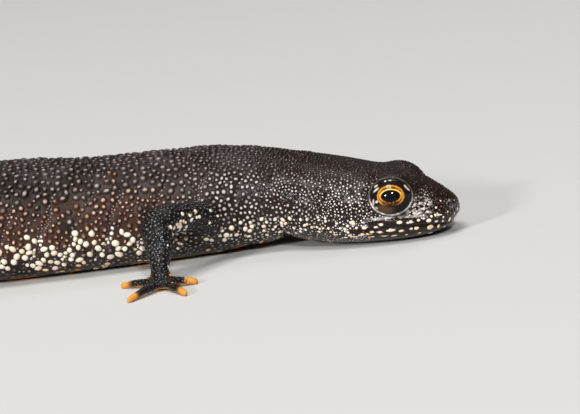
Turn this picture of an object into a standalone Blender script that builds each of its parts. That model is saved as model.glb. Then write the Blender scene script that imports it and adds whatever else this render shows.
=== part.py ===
"""A great crested newt on land, a grown female lying at rest, life size, as closed solids.

The newt looks along +X with its belly on z = 0. One spine curve and one table of body
sections shape the head, neck, trunk and tail, which are then parted into lengths.
Sizes are in millimetres until MM turns them into metres.
"""

import math

import bmesh
import bpy
from mathutils import Vector

MM = 0.001
GAP = 0.3

# --- Spine: distances run back from the snout tip, turns are to the newt's left -----------
SNOUT_TIP = Vector((39.4, -4.4))
# (millimetres behind the snout, heading in degrees)
SPINE_HEADINGS = (
    (0, -14.0),
    (13, -14.0),
    (25, 0.0),
    (42, 0.0),
    (60, -11.0),
    (78, -8.0),
    (104, 14.0),
    (139, 40.0),
)
SPINE_STEP = 0.25

# --- Body sections: behind the snout, half width, back, underside, widest level, and how
# square the upper and lower halves are (2 is an ellipse). An underside below 0 is pressed
# flat on the floor.
BODY_SECTIONS = (
    (0.0, 0.00, 2.35, 2.35, 2.35, 2.2, 2.2),  # snout tip
    (0.35, 1.60, 3.30, 1.35, 2.30, 2.2, 2.2),
    (1.1, 2.62, 3.95, 0.60, 2.25, 2.3, 2.3),  # nostrils
    (2.4, 3.60, 4.85, 0.15, 2.10, 2.4, 2.5),
    (4.0, 4.35, 5.70, -0.05, 2.10, 2.5, 2.7),
    (5.6, 4.85, 6.25, -0.12, 2.20, 2.6, 2.8),  # eyes
    (7.6, 5.25, 6.80, -0.14, 2.40, 2.6, 2.8),
    (10.5, 5.60, 7.45, -0.12, 2.90, 2.5, 2.6),  # corners of the jaw
    (13.0, 5.60, 8.05, 0.00, 3.40, 2.3, 2.4),
    (16.0, 5.30, 8.75, 0.45, 4.10, 2.2, 2.3),  # gular fold
    (18.5, 5.45, 9.25, 0.25, 4.30, 2.2, 2.3),
    (22.5, 6.00, 9.82, -0.10, 4.40, 2.2, 2.4),  # shoulders
    (27.0, 6.40, 9.90, -0.28, 4.40, 2.2, 2.5),
    (34.0, 6.85, 10.00, -0.36, 4.40, 2.2, 2.5),
    (42.0, 7.00, 10.70, -0.38, 4.50, 2.2, 2.5),  # widest of the belly
    (51.0, 6.60, 10.60, -0.32, 4.50, 2.2, 2.5),
    (57.5, 5.70, 9.95, -0.18, 4.50, 2.2, 2.4),
    (62.0, 4.90, 9.30, -0.10, 4.40, 2.1, 2.3),  # hips
    (70.0, 3.60, 8.50, -0.10, 4.10, 1.9, 2.1),  # vent
    (80.0, 2.45, 8.20, -0.12, 3.90, 1.7, 1.8),
    (98.0, 1.70, 7.60, -0.12, 3.60, 1.6, 1.7),
    (114.0, 1.20, 6.20, -0.12, 2.90, 1.6, 1.7),
    (128.0, 0.80, 3.90, -0.12, 1.80, 1.8, 1.9),
    (136.0, 0.50, 1.75, -0.10, 0.80, 2.0, 2.0),
    (138.7, 0.22, 0.80, -0.02, 0.40, 2.0, 2.0),
    (139.0, 0.00, 0.40, 0.40, 0.40, 2.0, 2.0),  # tail tip
)

# --- Swellings and hollows: behind the snout, angle up the section (0 is the widest level,
# 90 the midline of the back), height, spread along the body, spread in degrees.
SWELLINGS = (
    (5.6, 53, 0.97, 1.40, 14),  # brow over each eye
    (3.4, 62, 0.16, 1.5, 12),  # ridge from brow to nostril
    (2.9, 26, -0.28, 1.0, 14),  # hollow in front of each eye
    (6.0, 2, 0.10, 2.6, 9),  # roll of the upper lip
    (8.9, 34, -0.16, 0.9, 20),  # hollow behind each eye
    (11.6, 22, 0.30, 2.3, 26),  # gland and jaw muscle on each temple
    (5.6, 90, -0.14, 2.6, 18),  # shallow valley between the brows
    (16.2, -72, -0.42, 0.55, 45),  # gular fold across the throat
    (22.6, 4, 0.35, 2.6, 30),  # shoulder muscles
    (60.5, 2, 0.45, 2.8, 30),  # haunches
    (72.0, -74, 0.45, 2.0, 30),  # lips of the vent
)

# --- Lengths that the body is parted into: name, front, rear, rings, points round --------
LENGTHS = (
    ("head", 0.0, 16.0, 23, 30),
    ("neck", 16.0, 20.3, 5, 28),
    ("trunk_front", 20.3, 45.0, 12, 28),
    ("trunk_rear", 45.0, 69.0, 11, 28),
    ("tail_base", 69.0, 92.0, 10, 20),
    ("tail_middle", 92.0, 115.0, 9, 18),
    ("tail_tip", 115.0, 139.0, 11, 16),
)

# --- Mouth: the line where the lips meet, seen from the side ----------------------------
MOUTH_FRONT = 1.06
MOUTH_REAR = 1.78
MOUTH_CORNER = 9.8
JAW_REAR = 13.4

# --- Eyes -----------------------------------------------------------------------------
EYE_BEHIND_SNOUT = 5.6
EYE_FROM_MIDLINE = 3.6
EYE_HEIGHT = 4.4
EYE_RADIUS = 1.65
EYE_SEGMENTS = 16
EYE_RINGS = 9

# --- Lean of the head: its left side hangs lower and further back, as far as the eye -----
LEAN_DROP = 0.28
LEAN_BACK = 0.28
LEAN_FULL_SIDE = 3.5
LEAN_FULL_HEIGHT = 4.4
LEAN_FADE = (6.5, 9.5)

# --- Limbs ----------------------------------------------------------------------------
SHOULDER_BEHIND_SNOUT = 22.5
HIP_BEHIND_SNOUT = 60.5
DIGIT_RADIUS = 0.42
DIGIT_TIP_RADIUS = 0.34
# Root, middle of the upper bone, bend, middle of the lower bone, wrist or ankle.
FORE_RADII = (1.80, 1.38, 1.60, 1.38, 0.92)
HIND_RADII = (2.4, 1.80, 1.72, 1.50, 1.02)

# Each limb: root level, bend, wrist or ankle, middle of the palm, and its digits from the
# inner one outward as (length, direction in degrees from +X).
LIMBS = {
    "fore_right": {
        "root": (SHOULDER_BEHIND_SNOUT, -4.3, 3.7),
        "bend": (11.6, -9.8, 5.15),
        "joint": (11.2, -12.5, 1.75),
        "palm": (11.4, -13.6, 0.62),
        "radii": FORE_RADII,
        "palm_size": (1.45, 1.25, 0.6),
        "digits": ((2.9, 5), (4.3, -62), (4.8, -128), (4.2, -208)),
    },
    "fore_left": {
        "root": (SHOULDER_BEHIND_SNOUT, 4.3, 3.7),
        "bend": (12.8, 10.6, 5.1),
        "joint": (15.4, 14.8, 1.6),
        "palm": (16.5, 16.4, 0.62),
        "radii": FORE_RADII,
        "palm_size": (1.45, 1.25, 0.6),
        "digits": ((3.0, -20), (4.9, 22), (5.6, 58), (4.0, 102)),
    },
    "hind_right": {
        "root": (HIP_BEHIND_SNOUT, -3.2, 3.9),
        "bend": (-14.8, -8.8, 5.1),
        "joint": (-18.7, -13.6, 1.9),
        "palm": (-20.2, -15.9, 0.68),
        "radii": HIND_RADII,
        "palm_size": (1.75, 1.6, 0.66),
        "digits": ((3.0, -8), (4.6, -44), (5.8, -76), (5.9, -108), (3.9, -146)),
    },
    "hind_left": {
        "root": (HIP_BEHIND_SNOUT, 3.2, 3.9),
        "bend": (-17.2, 11.8, 5.1),
        "joint": (-22.2, 15.8, 1.9),
        "palm": (-24.3, 17.4, 0.68),
        "radii": HIND_RADII,
        "palm_size": (1.75, 1.6, 0.66),
        "digits": ((3.0, 48), (4.7, 84), (5.9, 118), (5.9, 150), (3.9, 186)),
    },
}

# --- Colours: base colour, roughness --------------------------------------------------
BACK_SKIN = ((0.030, 0.022, 0.018), 0.38)
FLANK_SKIN = ((0.040, 0.028, 0.022), 0.35)
LIMB_SKIN = ((0.035, 0.032, 0.034), 0.36)
FOOT_SKIN = ((0.080, 0.050, 0.020), 0.40)
EYE_COLOUR = ((0.180, 0.070, 0.010), 0.05)


def clear_scene():
    for obj in list(bpy.data.objects):
        bpy.data.objects.remove(obj, do_unlink=True)


def new_collection(name):
    collection = bpy.data.collections.new(name)
    bpy.context.scene.collection.children.link(collection)
    return collection


def new_material(name, look):
    colour, roughness = look
    material = bpy.data.materials.new(name)
    material.use_nodes = True
    shader = material.node_tree.nodes["Principled BSDF"]
    shader.inputs["Base Color"].default_value = (*colour, 1.0)
    shader.inputs["Roughness"].default_value = roughness
    shader.inputs["Metallic"].default_value = 0.0
    return material


def add_mesh(name, bm, collection, look=None):
    """Turns bm into an object. Without a look it is a cutter, which isn't rendered."""
    mesh = bpy.data.meshes.new(name)
    bm.to_mesh(mesh)
    bm.free()
    obj = bpy.data.objects.new(name, mesh)
    collection.objects.link(obj)
    if look:
        mesh.materials.append(new_material(name, look))
        mesh.shade_smooth()
        mesh.set_sharp_from_angle(angle=math.radians(50))
    else:
        obj.hide_render = True
        obj.display_type = "WIRE"
    return obj


def boolean(obj, operation, other):
    """Adds an exact Boolean of obj with another object or with a whole collection."""
    modifier = obj.modifiers.new(operation.lower(), "BOOLEAN")
    modifier.operation = operation
    modifier.solver = "EXACT"
    if isinstance(other, bpy.types.Collection):
        modifier.operand_type = "COLLECTION"
        modifier.collection = other
    else:
        modifier.object = other


def ease(t):
    t = min(max(t, 0.0), 1.0)
    return t * t * (3 - 2 * t)


def monotone(rows, column, at):
    """Smooth value between the rows' stations that never overshoots them.

    It runs on the square root of the station, so a blunt nose comes out round.
    """
    xs = [math.sqrt(row[0]) for row in rows]
    ys = [row[column] for row in rows]
    x = math.sqrt(min(max(at, rows[0][0]), rows[-1][0]))
    last = len(xs) - 1
    slopes = [(ys[i + 1] - ys[i]) / (xs[i + 1] - xs[i]) for i in range(last)]

    def tangent(i):
        if i in (0, last):
            return slopes[min(i, last - 1)]
        before, after = slopes[i - 1], slopes[i]
        return 0.0 if before * after <= 0 else 2 * before * after / (before + after)

    i = next((k for k in range(last) if x <= xs[k + 1]), last - 1)
    span = xs[i + 1] - xs[i]
    t = (x - xs[i]) / span
    rise = ys[i + 1] - ys[i]
    a = tangent(i) * span - rise
    b = rise - tangent(i + 1) * span
    return ys[i] + t * rise + t * (1 - t) * (a * (1 - t) + b * t)


def lay_out_spine():
    """Points and headings of the spine, one each SPINE_STEP back from the snout tip."""
    place = SNOUT_TIP.copy()
    spine = []
    for step in range(int(SPINE_HEADINGS[-1][0] / SPINE_STEP) + 1):
        heading = math.radians(smooth_heading(step * SPINE_STEP))
        spine.append((place.copy(), heading))
        place -= Vector((math.cos(heading), math.sin(heading))) * SPINE_STEP
    return spine


def smooth_heading(back):
    for (start, first), (end, second) in zip(SPINE_HEADINGS, SPINE_HEADINGS[1:]):
        if back <= end:
            return first + (second - first) * ease((back - start) / (end - start))
    return SPINE_HEADINGS[-1][1]


SPINE = lay_out_spine()


def spine_at(back):
    """Plan position of the spine and its unit vector to the newt's left."""
    place = min(max(back, 0.0) / SPINE_STEP, len(SPINE) - 1.001)
    i = int(place)
    t = place - i
    point = SPINE[i][0].lerp(SPINE[i + 1][0], t)
    heading = SPINE[i][1] * (1 - t) + SPINE[i + 1][1] * t
    return point, Vector((-math.sin(heading), math.cos(heading)))


def swelling(back, angle):
    """Height of the swellings at this place, the same on both sides of the body."""
    folded = math.degrees(math.asin(math.sin(angle)))
    total = 0.0
    for centre, at, height, along, around in SWELLINGS:
        away = ((back - centre) / along) ** 2 + ((folded - at) / around) ** 2
        total += height * math.exp(-away / 2)
    return total


def lean(back, sideways, height):
    """How far the lean of the head takes a place back and down."""
    start, end = LEAN_FADE
    share = ease(sideways / LEAN_FULL_SIDE) * (1 - ease((back - start) / (end - start)))
    return LEAN_BACK * share, LEAN_DROP * share * min(max(height / LEAN_FULL_HEIGHT, 0.0), 1.0)


def body_point(back, angle, grow=0.0):
    """Point on the body's surface; angle 0 is the left side and 90 degrees the back."""
    half, top, under, level, upper, lower = (
        monotone(BODY_SECTIONS, column, back) for column in range(1, 7)
    )
    rising = math.sin(angle) >= 0
    power = 2 / (upper if rising else lower)
    height = top - level if rising else level - under
    out = math.copysign(abs(math.cos(angle)) ** power, math.cos(angle))
    up = math.copysign(abs(math.sin(angle)) ** power, math.sin(angle))
    more = grow + swelling(back, angle) * min(1.0, half)
    sideways = half * out + more * math.cos(angle)
    z = level + height * up + more * math.sin(angle)
    shift, drop = lean(back, sideways, z)
    place, left = spine_at(back)
    plan = place + left * sideways - Vector((left.y, -left.x)) * shift
    floor = -grow
    return Vector((plan.x, plan.y, max(z - drop, floor))) * MM


def ring_places(front, rear, rings):
    """Stations from front to rear, drawn together towards a pointed end."""
    places = []
    for i in range(rings + 1):
        t = i / rings
        if front == 0.0:
            t = t**1.8
        elif rear == BODY_SECTIONS[-1][0]:
            t = 1 - (1 - t) ** 1.7
        places.append(front + (rear - front) * t)
    return places


def loft(name, front, rear, rings, around, collection, look=None, grow=0.0):
    """Closes a run of body sections into a solid, with a flat face or a point at each end."""
    bm = bmesh.new()
    hoops = []
    for back in ring_places(front, rear, rings):
        if back in (BODY_SECTIONS[0][0], BODY_SECTIONS[-1][0]):
            hoops.append([bm.verts.new(body_point(back, 0.0))])
            continue
        turns = (2 * math.pi * (k + 0.5) / around for k in range(around))
        hoops.append([bm.verts.new(body_point(back, turn, grow)) for turn in turns])
    for first, second in zip(hoops, hoops[1:]):
        join_hoops(bm, first, second)
    for hoop in (hoops[0], hoops[-1]):
        if len(hoop) > 1:
            bm.faces.new(hoop)
    bmesh.ops.recalc_face_normals(bm, faces=bm.faces)
    return add_mesh(name, bm, collection, look)


def join_hoops(bm, first, second):
    count = max(len(first), len(second))
    for k in range(count):
        after = (k + 1) % count
        corners = [first[k % len(first)], first[after % len(first)]]
        corners += [second[after % len(second)], second[k % len(second)]]
        bm.faces.new(list(dict.fromkeys(corners)))


def head_point(back, sideways, height):
    """A place in the head's own measure: behind the snout, left of the midline, up."""
    shift, drop = lean(back, sideways, height)
    place, left = spine_at(back + shift)
    plan = place + left * sideways
    return Vector((plan.x, plan.y, height - drop)) * MM


def jaw_block(name, lift, collection):
    """A block that holds all of the head below the mouth line, raised by lift."""
    beyond = 9.0
    low = -2.0
    side_view = [(-3.0, MOUTH_FRONT), (0.0, MOUTH_FRONT), (MOUTH_CORNER * 0.45, MOUTH_REAR - 0.08)]
    side_view += [(MOUTH_CORNER, MOUTH_REAR), (JAW_REAR - 1.2, MOUTH_REAR - 0.75), (JAW_REAR, 0.3)]
    side_view += [(JAW_REAR + 0.1, low + 0.1)]
    profile = [(back + lift * (back > MOUTH_CORNER), z + lift) for back, z in side_view]
    profile += [(profile[-1][0], low), (-3.0, low)]
    bm = bmesh.new()
    heading = Vector((math.cos(SPINE[0][1]), math.sin(SPINE[0][1])))
    left = Vector((-heading.y, heading.x))
    sides = []
    for side in (-beyond, beyond):
        corners = []
        for back, z in profile:
            plan = SNOUT_TIP - heading * back + left * side
            corners.append(bm.verts.new(Vector((plan.x, plan.y, z)) * MM))
        sides.append(corners)
        bm.faces.new(corners)
    join_hoops(bm, *sides)
    bmesh.ops.recalc_face_normals(bm, faces=bm.faces)
    return add_mesh(name, bm, collection)


def ball(name, centre, radius, segments, rings, collection, look=None):
    bm = bmesh.new()
    bmesh.ops.create_uvsphere(bm, u_segments=segments, v_segments=rings, radius=radius * MM)
    obj = add_mesh(name, bm, collection, look)
    obj.location = centre
    return obj


def smooth_route(points, radii, steps):
    """Points and radii along a Catmull-Rom curve through the given ones."""
    ends = [points[0] * 2 - points[1], *points, points[-1] * 2 - points[-2]]
    route = []
    for i in range(1, len(ends) - 2):
        a, b, c, d = ends[i - 1 : i + 3]
        for step in range(steps):
            t = step / steps
            bend = (2 * a - 5 * b + 4 * c - d) * t**2 + (3 * b - a - 3 * c + d) * t**3
            place = (2 * b + (c - a) * t + bend) / 2
            share = ease(t)
            route.append((place, radii[i - 1] * (1 - share) + radii[i] * share))
    route.append((points[-1], radii[-1]))
    return route


def round_off(route, turns=(40, 75)):
    """Adds a round end to a route, of its last radius."""
    place, radius = route[-1]
    onward = (place - route[-2][0]).normalized()
    angles = [math.radians(turn) for turn in turns]
    tip = [(place + onward * radius * math.sin(a), radius * math.cos(a)) for a in angles]
    return route + tip


def tube(name, route, resolution, collection, look=None):
    """A round bar along the route, from a bevelled curve with filled caps, as a mesh."""
    data = bpy.data.curves.new(name, "CURVE")
    data.dimensions = "3D"
    data.bevel_depth = MM
    data.bevel_resolution = resolution
    data.use_fill_caps = True
    spline = data.splines.new("POLY")
    spline.points.add(len(route) - 1)
    for point, (place, radius) in zip(spline.points, route):
        point.co = (*(place * MM), 1.0)
        point.radius = radius
    curve = bpy.data.objects.new(name + "_curve", data)
    collection.objects.link(curve)
    evaluated = curve.evaluated_get(bpy.context.evaluated_depsgraph_get())
    swept = bpy.data.meshes.new_from_object(evaluated)
    bm = bmesh.new()
    bm.from_mesh(swept)
    bmesh.ops.remove_doubles(bm, verts=bm.verts, dist=1e-6)
    bmesh.ops.recalc_face_normals(bm, faces=bm.faces)
    bpy.data.objects.remove(curve, do_unlink=True)
    bpy.data.meshes.remove(swept)
    return add_mesh(name, bm, collection, look)


def build_limb(name, limb, newt, cutters, hollow):
    """Leg and foot of one limb. They part at the wrist, and hollow is taken off the root."""
    behind, sideways, height = limb["root"]
    plan, left = spine_at(behind)
    plan = plan + left * sideways
    root = Vector((plan.x, plan.y, height))
    bend, joint, palm = (Vector(limb[key]) for key in ("bend", "joint", "palm"))
    lift = Vector((0, 0, 0.5))
    points = [root, root.lerp(bend, 0.55) + lift, bend, bend.lerp(joint, 0.55), joint]
    leg = tube(name + "_leg", smooth_route(points, limb["radii"], 4), 3, newt, LIMB_SKIN)
    boolean(leg, "DIFFERENCE", hollow)

    onward = (joint - bend).normalized()
    start = joint + onward * GAP
    wrist_radius = limb["radii"][-1]
    route = smooth_route([start, start.lerp(palm, 0.5), palm], [wrist_radius, wrist_radius, 0.6], 2)
    foot = tube(name + "_foot", route, 3, newt, FOOT_SKIN)

    pieces = bpy.data.collections.new(name + "_pieces")
    cutters.children.link(pieces)
    pad = ball(name + "_palm", palm * MM, 1.0, 12, 8, pieces)
    pad.scale = limb["palm_size"]
    pad.rotation_euler.z = math.radians(limb["digits"][1][1])
    for number, (length, direction) in enumerate(limb["digits"], 1):
        turn = math.radians(direction)
        away = Vector((math.cos(turn), math.sin(turn), 0))
        knuckle = palm + away * length * 0.5 + Vector((0, 0, 0.06))
        knuckle.z = 0.56
        tip = palm + away * length
        tip.z = DIGIT_TIP_RADIUS * 0.86
        radii = [DIGIT_RADIUS * 1.15, DIGIT_RADIUS, DIGIT_TIP_RADIUS]
        digit_route = round_off(smooth_route([palm, knuckle, tip], radii, 2))
        tube(f"{name}_digit_{number}", digit_route, 2, pieces)
    boolean(foot, "UNION", pieces)
    boolean(foot, "DIFFERENCE", bpy.data.objects["floor_block"])


def main():
    clear_scene()
    newt = new_collection("great_crested_newt")
    cutters = new_collection("cutters")

    for name, front, rear, rings, around in LENGTHS:
        front += GAP / 2 * (front > 0)
        rear -= GAP / 2 * (rear < BODY_SECTIONS[-1][0])
        look = BACK_SKIN if name in ("head", "neck") else FLANK_SKIN
        loft(name, front, rear, rings, around, newt, look)

    head = bpy.data.objects["head"]
    jaw = head.copy()
    jaw.data = head.data.copy()
    jaw.name = "lower_jaw"
    jaw.data.materials[0] = new_material("lower_jaw", BACK_SKIN)
    newt.objects.link(jaw)
    boolean(jaw, "INTERSECT", jaw_block("jaw_block", 0.0, cutters))
    boolean(head, "DIFFERENCE", jaw_block("mouth_cut", GAP, cutters))

    for side, sign in (("right", -1), ("left", 1)):
        centre = head_point(EYE_BEHIND_SNOUT, sign * EYE_FROM_MIDLINE, EYE_HEIGHT)
        ball("eye_" + side, centre, EYE_RADIUS, EYE_SEGMENTS, EYE_RINGS, newt, EYE_COLOUR)
        socket = ball("socket_" + side, centre, EYE_RADIUS + GAP, EYE_SEGMENTS, EYE_RINGS, cutters)
        boolean(head, "DIFFERENCE", socket)

    bm = bmesh.new()
    bmesh.ops.create_cube(bm, size=1.0)
    floor = add_mesh("floor_block", bm, cutters)
    floor.scale = (0.2, 0.1, 0.01)
    floor.location.z = -0.005

    shoulder_hollow = loft("shoulder_hollow", 17.0, 30.0, 8, 32, cutters, grow=GAP)
    hip_hollow = loft("hip_hollow", 52.0, 68.7, 10, 32, cutters, grow=GAP)
    for name, limb in LIMBS.items():
        hollow = shoulder_hollow if name.startswith("fore") else hip_hollow
        build_limb(name, limb, newt, cutters, hollow)


main()
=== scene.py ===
import itertools
import math

import bmesh
import bpy
import numpy as np
from mathutils import Matrix, Vector, noise
from mathutils.bvhtree import BVHTree
from mathutils.kdtree import KDTree


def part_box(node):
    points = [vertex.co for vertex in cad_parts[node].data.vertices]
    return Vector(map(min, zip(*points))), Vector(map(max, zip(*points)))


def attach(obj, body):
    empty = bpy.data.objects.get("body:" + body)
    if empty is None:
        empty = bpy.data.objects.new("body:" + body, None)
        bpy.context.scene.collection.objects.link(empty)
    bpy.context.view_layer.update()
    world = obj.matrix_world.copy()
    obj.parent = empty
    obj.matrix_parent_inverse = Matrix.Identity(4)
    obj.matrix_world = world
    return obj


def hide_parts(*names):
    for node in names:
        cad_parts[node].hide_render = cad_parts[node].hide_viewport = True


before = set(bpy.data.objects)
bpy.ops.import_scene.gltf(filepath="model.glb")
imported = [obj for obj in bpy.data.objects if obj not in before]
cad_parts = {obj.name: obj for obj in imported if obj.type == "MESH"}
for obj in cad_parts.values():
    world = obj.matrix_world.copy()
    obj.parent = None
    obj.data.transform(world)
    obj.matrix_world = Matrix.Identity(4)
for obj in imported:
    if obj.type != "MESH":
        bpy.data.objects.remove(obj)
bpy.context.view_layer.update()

mm = 0.001
up = np.array((0.0, 0.0, 1.0))
rng = np.random.default_rng(7)


# small helpers
def readAll(items, key, width=3, kind=np.float32):
    flat = np.empty(len(items) * width, kind)
    items.foreach_get(key, flat)
    return flat.reshape(-1, width).astype(float if kind is np.float32 else kind)


def pointsOf(mesh):
    return readAll(mesh.vertices, "co")


def setPoints(mesh, points):
    mesh.vertices.foreach_set("co", points.astype(np.float32).ravel())
    mesh.update()


def normalsOf(mesh):
    return readAll(mesh.vertex_normals, "vector")


def trianglesOf(mesh):
    mesh.calc_loop_triangles()
    return readAll(mesh.loop_triangles, "vertices", kind=np.int32)


def unit(v):
    return v / np.linalg.norm(v)


def nearestOf(points, places):
    # distance from each point to the nearest of a few places
    return np.min([np.linalg.norm(points - place, axis=1) for place in places], 0)


def smoothStep(low, high, x):
    t = np.clip((x - low) / (high - low), 0.0, 1.0)
    return t * t * (3 - 2 * t)


def rises(x, low, high):
    # from 0 to 1 as x passes from low to high, which are in mm
    return smoothStep(low * mm, high * mm, x)


def falls(x, low, high):
    return 1 - rises(x, low, high)


def within(x, low, rising, falling, high):
    return rises(x, low, rising) * falls(x, falling, high)


def mixed(first, second, share):
    return first * (1 - share) + second * share


def bump(x, width):
    return np.exp(-((x / width) ** 2))


def newObject(name, data):
    obj = bpy.data.objects.new(name, data)
    bpy.context.scene.collection.objects.link(obj)
    return obj


def onlySelect(*objects):
    bpy.ops.object.select_all(action="DESELECT")
    for obj in objects:
        obj.select_set(True)
    bpy.context.view_layer.objects.active = objects[0]


def applyModifier(obj, kind, **settings):
    modifier = obj.modifiers.new(kind.lower(), kind)
    for key, value in settings.items():
        setattr(modifier, key, value)
    onlySelect(obj)
    bpy.ops.object.modifier_apply(modifier=modifier.name)


def floatAttribute(mesh, name, values):
    attribute = mesh.attributes.get(name) or mesh.attributes.new(name, "FLOAT", "POINT")
    attribute.data.foreach_set("value", np.asarray(values, np.float32))


def readAttribute(mesh, name):
    return readAll(mesh.attributes[name].data, "value", 1)[:, 0]


# the newt's own measures: the head's heading, and the spine read off the solids
headTurn = math.radians(-14)
bodyNodes = ["head", "neck", "trunk_front", "trunk_rear", "tail_base", "tail_middle", "tail_tip"]
fleshNodes = sorted(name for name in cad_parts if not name.startswith("eye"))


def boxMiddle(node):
    low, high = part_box(node)
    return (np.array(low) + np.array(high)) / 2


eyeCentre = {-1: boxMiddle("eye_right"), 1: boxMiddle("eye_left")}
headLeft = np.array((-math.sin(headTurn), math.cos(headTurn), 0.0))
headFront = np.cross(headLeft, up)
headPoints = pointsOf(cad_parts["head"].data)
eyeMiddle = (eyeCentre[1] + eyeCentre[-1]) / 2
snoutTip = eyeMiddle + headFront * ((headPoints - eyeMiddle) @ headFront).max()


def middleAt(x, triangles):
    # middle of the outline, seen from above, where the plane at x cuts the body
    a, b = triangles, np.roll(triangles, 1, axis=1)
    crosses = (a[..., 0] - x) * (b[..., 0] - x) < 0
    a, b = a[crosses], b[crosses]
    y = a[:, 1] + (b[:, 1] - a[:, 1]) * (x - a[:, 0]) / (b[:, 0] - a[:, 0])
    return (y.min() + y.max()) / 2 if len(y) else None


def measureSpine(slices=60):
    meshes = [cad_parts[name].data for name in bodyNodes]
    triangles = np.concatenate([pointsOf(mesh)[trianglesOf(mesh)] for mesh in meshes])
    tailEnd = triangles[..., 0].min()
    neckStart = (snoutTip - headFront * 14 * mm)[0]
    # the head is straight; behind it the spine follows the outline's middle
    route = [snoutTip[:2], (snoutTip - headFront * 6 * mm)[:2], (snoutTip - headFront * 12 * mm)[:2]]
    for x in np.linspace(neckStart - 0.002, tailEnd + 0.0004, slices):
        y = middleAt(x, triangles)
        if y is not None:
            route.append(np.array((x, y)))
    return np.array(route)


spineRoute = measureSpine()
spineSteps = np.linalg.norm(np.diff(spineRoute, axis=0), axis=1)
spineBack = np.concatenate([[0], np.cumsum(spineSteps)])
bodyLength = spineBack[-1]


def alongBody(points):
    # distance behind the snout tip along the spine, and to the left of it
    order = np.argsort(spineRoute[:, 0])
    back = np.interp(points[:, 0], spineRoute[order, 0], spineBack[order])
    for _ in range(4):
        foot, ahead, behind = (
            np.stack([np.interp(back + step, spineBack, spineRoute[:, k]) for k in (0, 1)], 1)
            for step in (0, mm, -mm)
        )
        along = ahead - behind
        along /= np.maximum(np.linalg.norm(along, axis=1, keepdims=True), 1e-9)
        back = np.clip(back + ((points[:, :2] - foot) * along).sum(1) * 0.9, 0, bodyLength)
    side = (points[:, 0] - foot[:, 0]) * along[:, 1] - (points[:, 1] - foot[:, 1]) * along[:, 0]
    return back, side


def alongSpine(points):
    return alongBody(points)[0]


print("spine measured:", round(bodyLength * 1000, 1), "mm")

# skin: the flesh solids grown together into one surface, then worked over
skinShape = {
    "swell": 0.3 * mm,  # how far the solids grow to close the cuts between them
    "voxel": 0.15 * mm,
    "evenOut": 30,  # smoothing turns on the body
    "soften": 9,  # and everywhere
    "coatTrunk": 0.13 * mm,  # room for the warts under the solids' surface
    "coatHead": 0.05 * mm,
    "coatLimb": 0.05 * mm,
    "coatFoot": 0.02 * mm,
    "fadeTrunk": (12, 22),  # mm behind the snout where the trunk's coat takes over
    "fadeTail": (80, 130),  # and where it thins towards the tail's tip
    "floor": 0.01 * mm,  # the skin's lowest level
    "fineEyes": (3.0 * mm, 2.7 * mm),  # how far round them the faces are split, turn by turn
    "fineNostrils": 0.6 * mm,
    "triangles": 186000,
}


def grownCopy(name):
    obj = newObject("grown_" + name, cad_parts[name].data.copy())
    bm = bmesh.new()
    bm.from_mesh(obj.data)
    bmesh.ops.remove_doubles(bm, verts=bm.verts, dist=1e-6)
    bmesh.ops.recalc_face_normals(bm, faces=bm.faces)
    bm.normal_update()
    for vertex in bm.verts:
        vertex.co += vertex.normal * skinShape["swell"]
    bm.to_mesh(obj.data)
    bm.free()
    return obj


def nearestTree(names):
    points, faces = [], []
    for name in names:
        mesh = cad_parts[name].data
        faces += (trianglesOf(mesh) + sum(len(p) for p in points)).tolist()
        points.append(pointsOf(mesh))
    return BVHTree.FromPolygons(np.concatenate(points).tolist(), faces)


def distancesTo(tree, points):
    return np.array([tree.find_nearest(p)[3] for p in points.tolist()])


def growSkin():
    copies = [grownCopy(name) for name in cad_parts]
    onlySelect(*copies)
    bpy.ops.object.join()
    skin = bpy.context.view_layer.objects.active
    skin.name = skin.data.name = "skin"
    skin.data.materials.clear()
    applyModifier(skin, "REMESH", mode="VOXEL", voxel_size=skinShape["voxel"])
    applyModifier(skin, "SMOOTH", factor=0.5, iterations=skinShape["soften"])
    print("skin grown:", len(skin.data.vertices), "points")
    return skin


def markRegions(mesh):
    # how far each point belongs to a limb and to a foot, from 0 to 1
    points = pointsOf(mesh)
    legs, feet = ([name for name in fleshNodes if name.endswith(end)] for end in ("_leg", "_foot"))
    body, leg, foot = (
        distancesTo(nearestTree(names), points) for names in (bodyNodes + ["lower_jaw"], legs, feet)
    )
    limb = rises(body - np.minimum(leg, foot), -0.6, 0.6)
    foot = rises(np.minimum(leg, body) - foot, -0.5, 0.5)
    floatAttribute(mesh, "limb", limb)
    floatAttribute(mesh, "foot", foot)
    return limb, foot


def evenOutBody(skin):
    limb = readAttribute(skin.data, "limb")
    back = alongSpine(pointsOf(skin.data))
    nearEye = nearestOf(pointsOf(skin.data), eyeCentre.values())
    weight = (1 - limb) * rises(nearEye, 2.2, 3.4) * rises(back, 3, 9)
    group = skin.vertex_groups.new(name="broad")
    for step in range(1, 11):
        group.add(np.flatnonzero(np.round(weight * 10) == step).tolist(), step / 10, "REPLACE")
    applyModifier(skin, "SMOOTH", factor=0.5, iterations=skinShape["evenOut"], vertex_group="broad")
    skin.vertex_groups.remove(skin.vertex_groups["broad"])


def shrinkToCoat(mesh, limb, foot):
    points = pointsOf(mesh)
    back = alongSpine(points)
    head, trunk = skinShape["coatHead"], skinShape["coatTrunk"]
    body = head + (trunk - head) * rises(back, *skinShape["fadeTrunk"])
    body *= 1 - 0.6 * rises(back, *skinShape["fadeTail"])
    depth = mixed(mixed(body, skinShape["coatLimb"], limb), skinShape["coatFoot"], foot)
    points -= normalsOf(mesh) * (skinShape["swell"] + depth)[:, None]
    points[:, 2] = np.maximum(points[:, 2], skinShape["floor"])
    setPoints(mesh, points)


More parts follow.
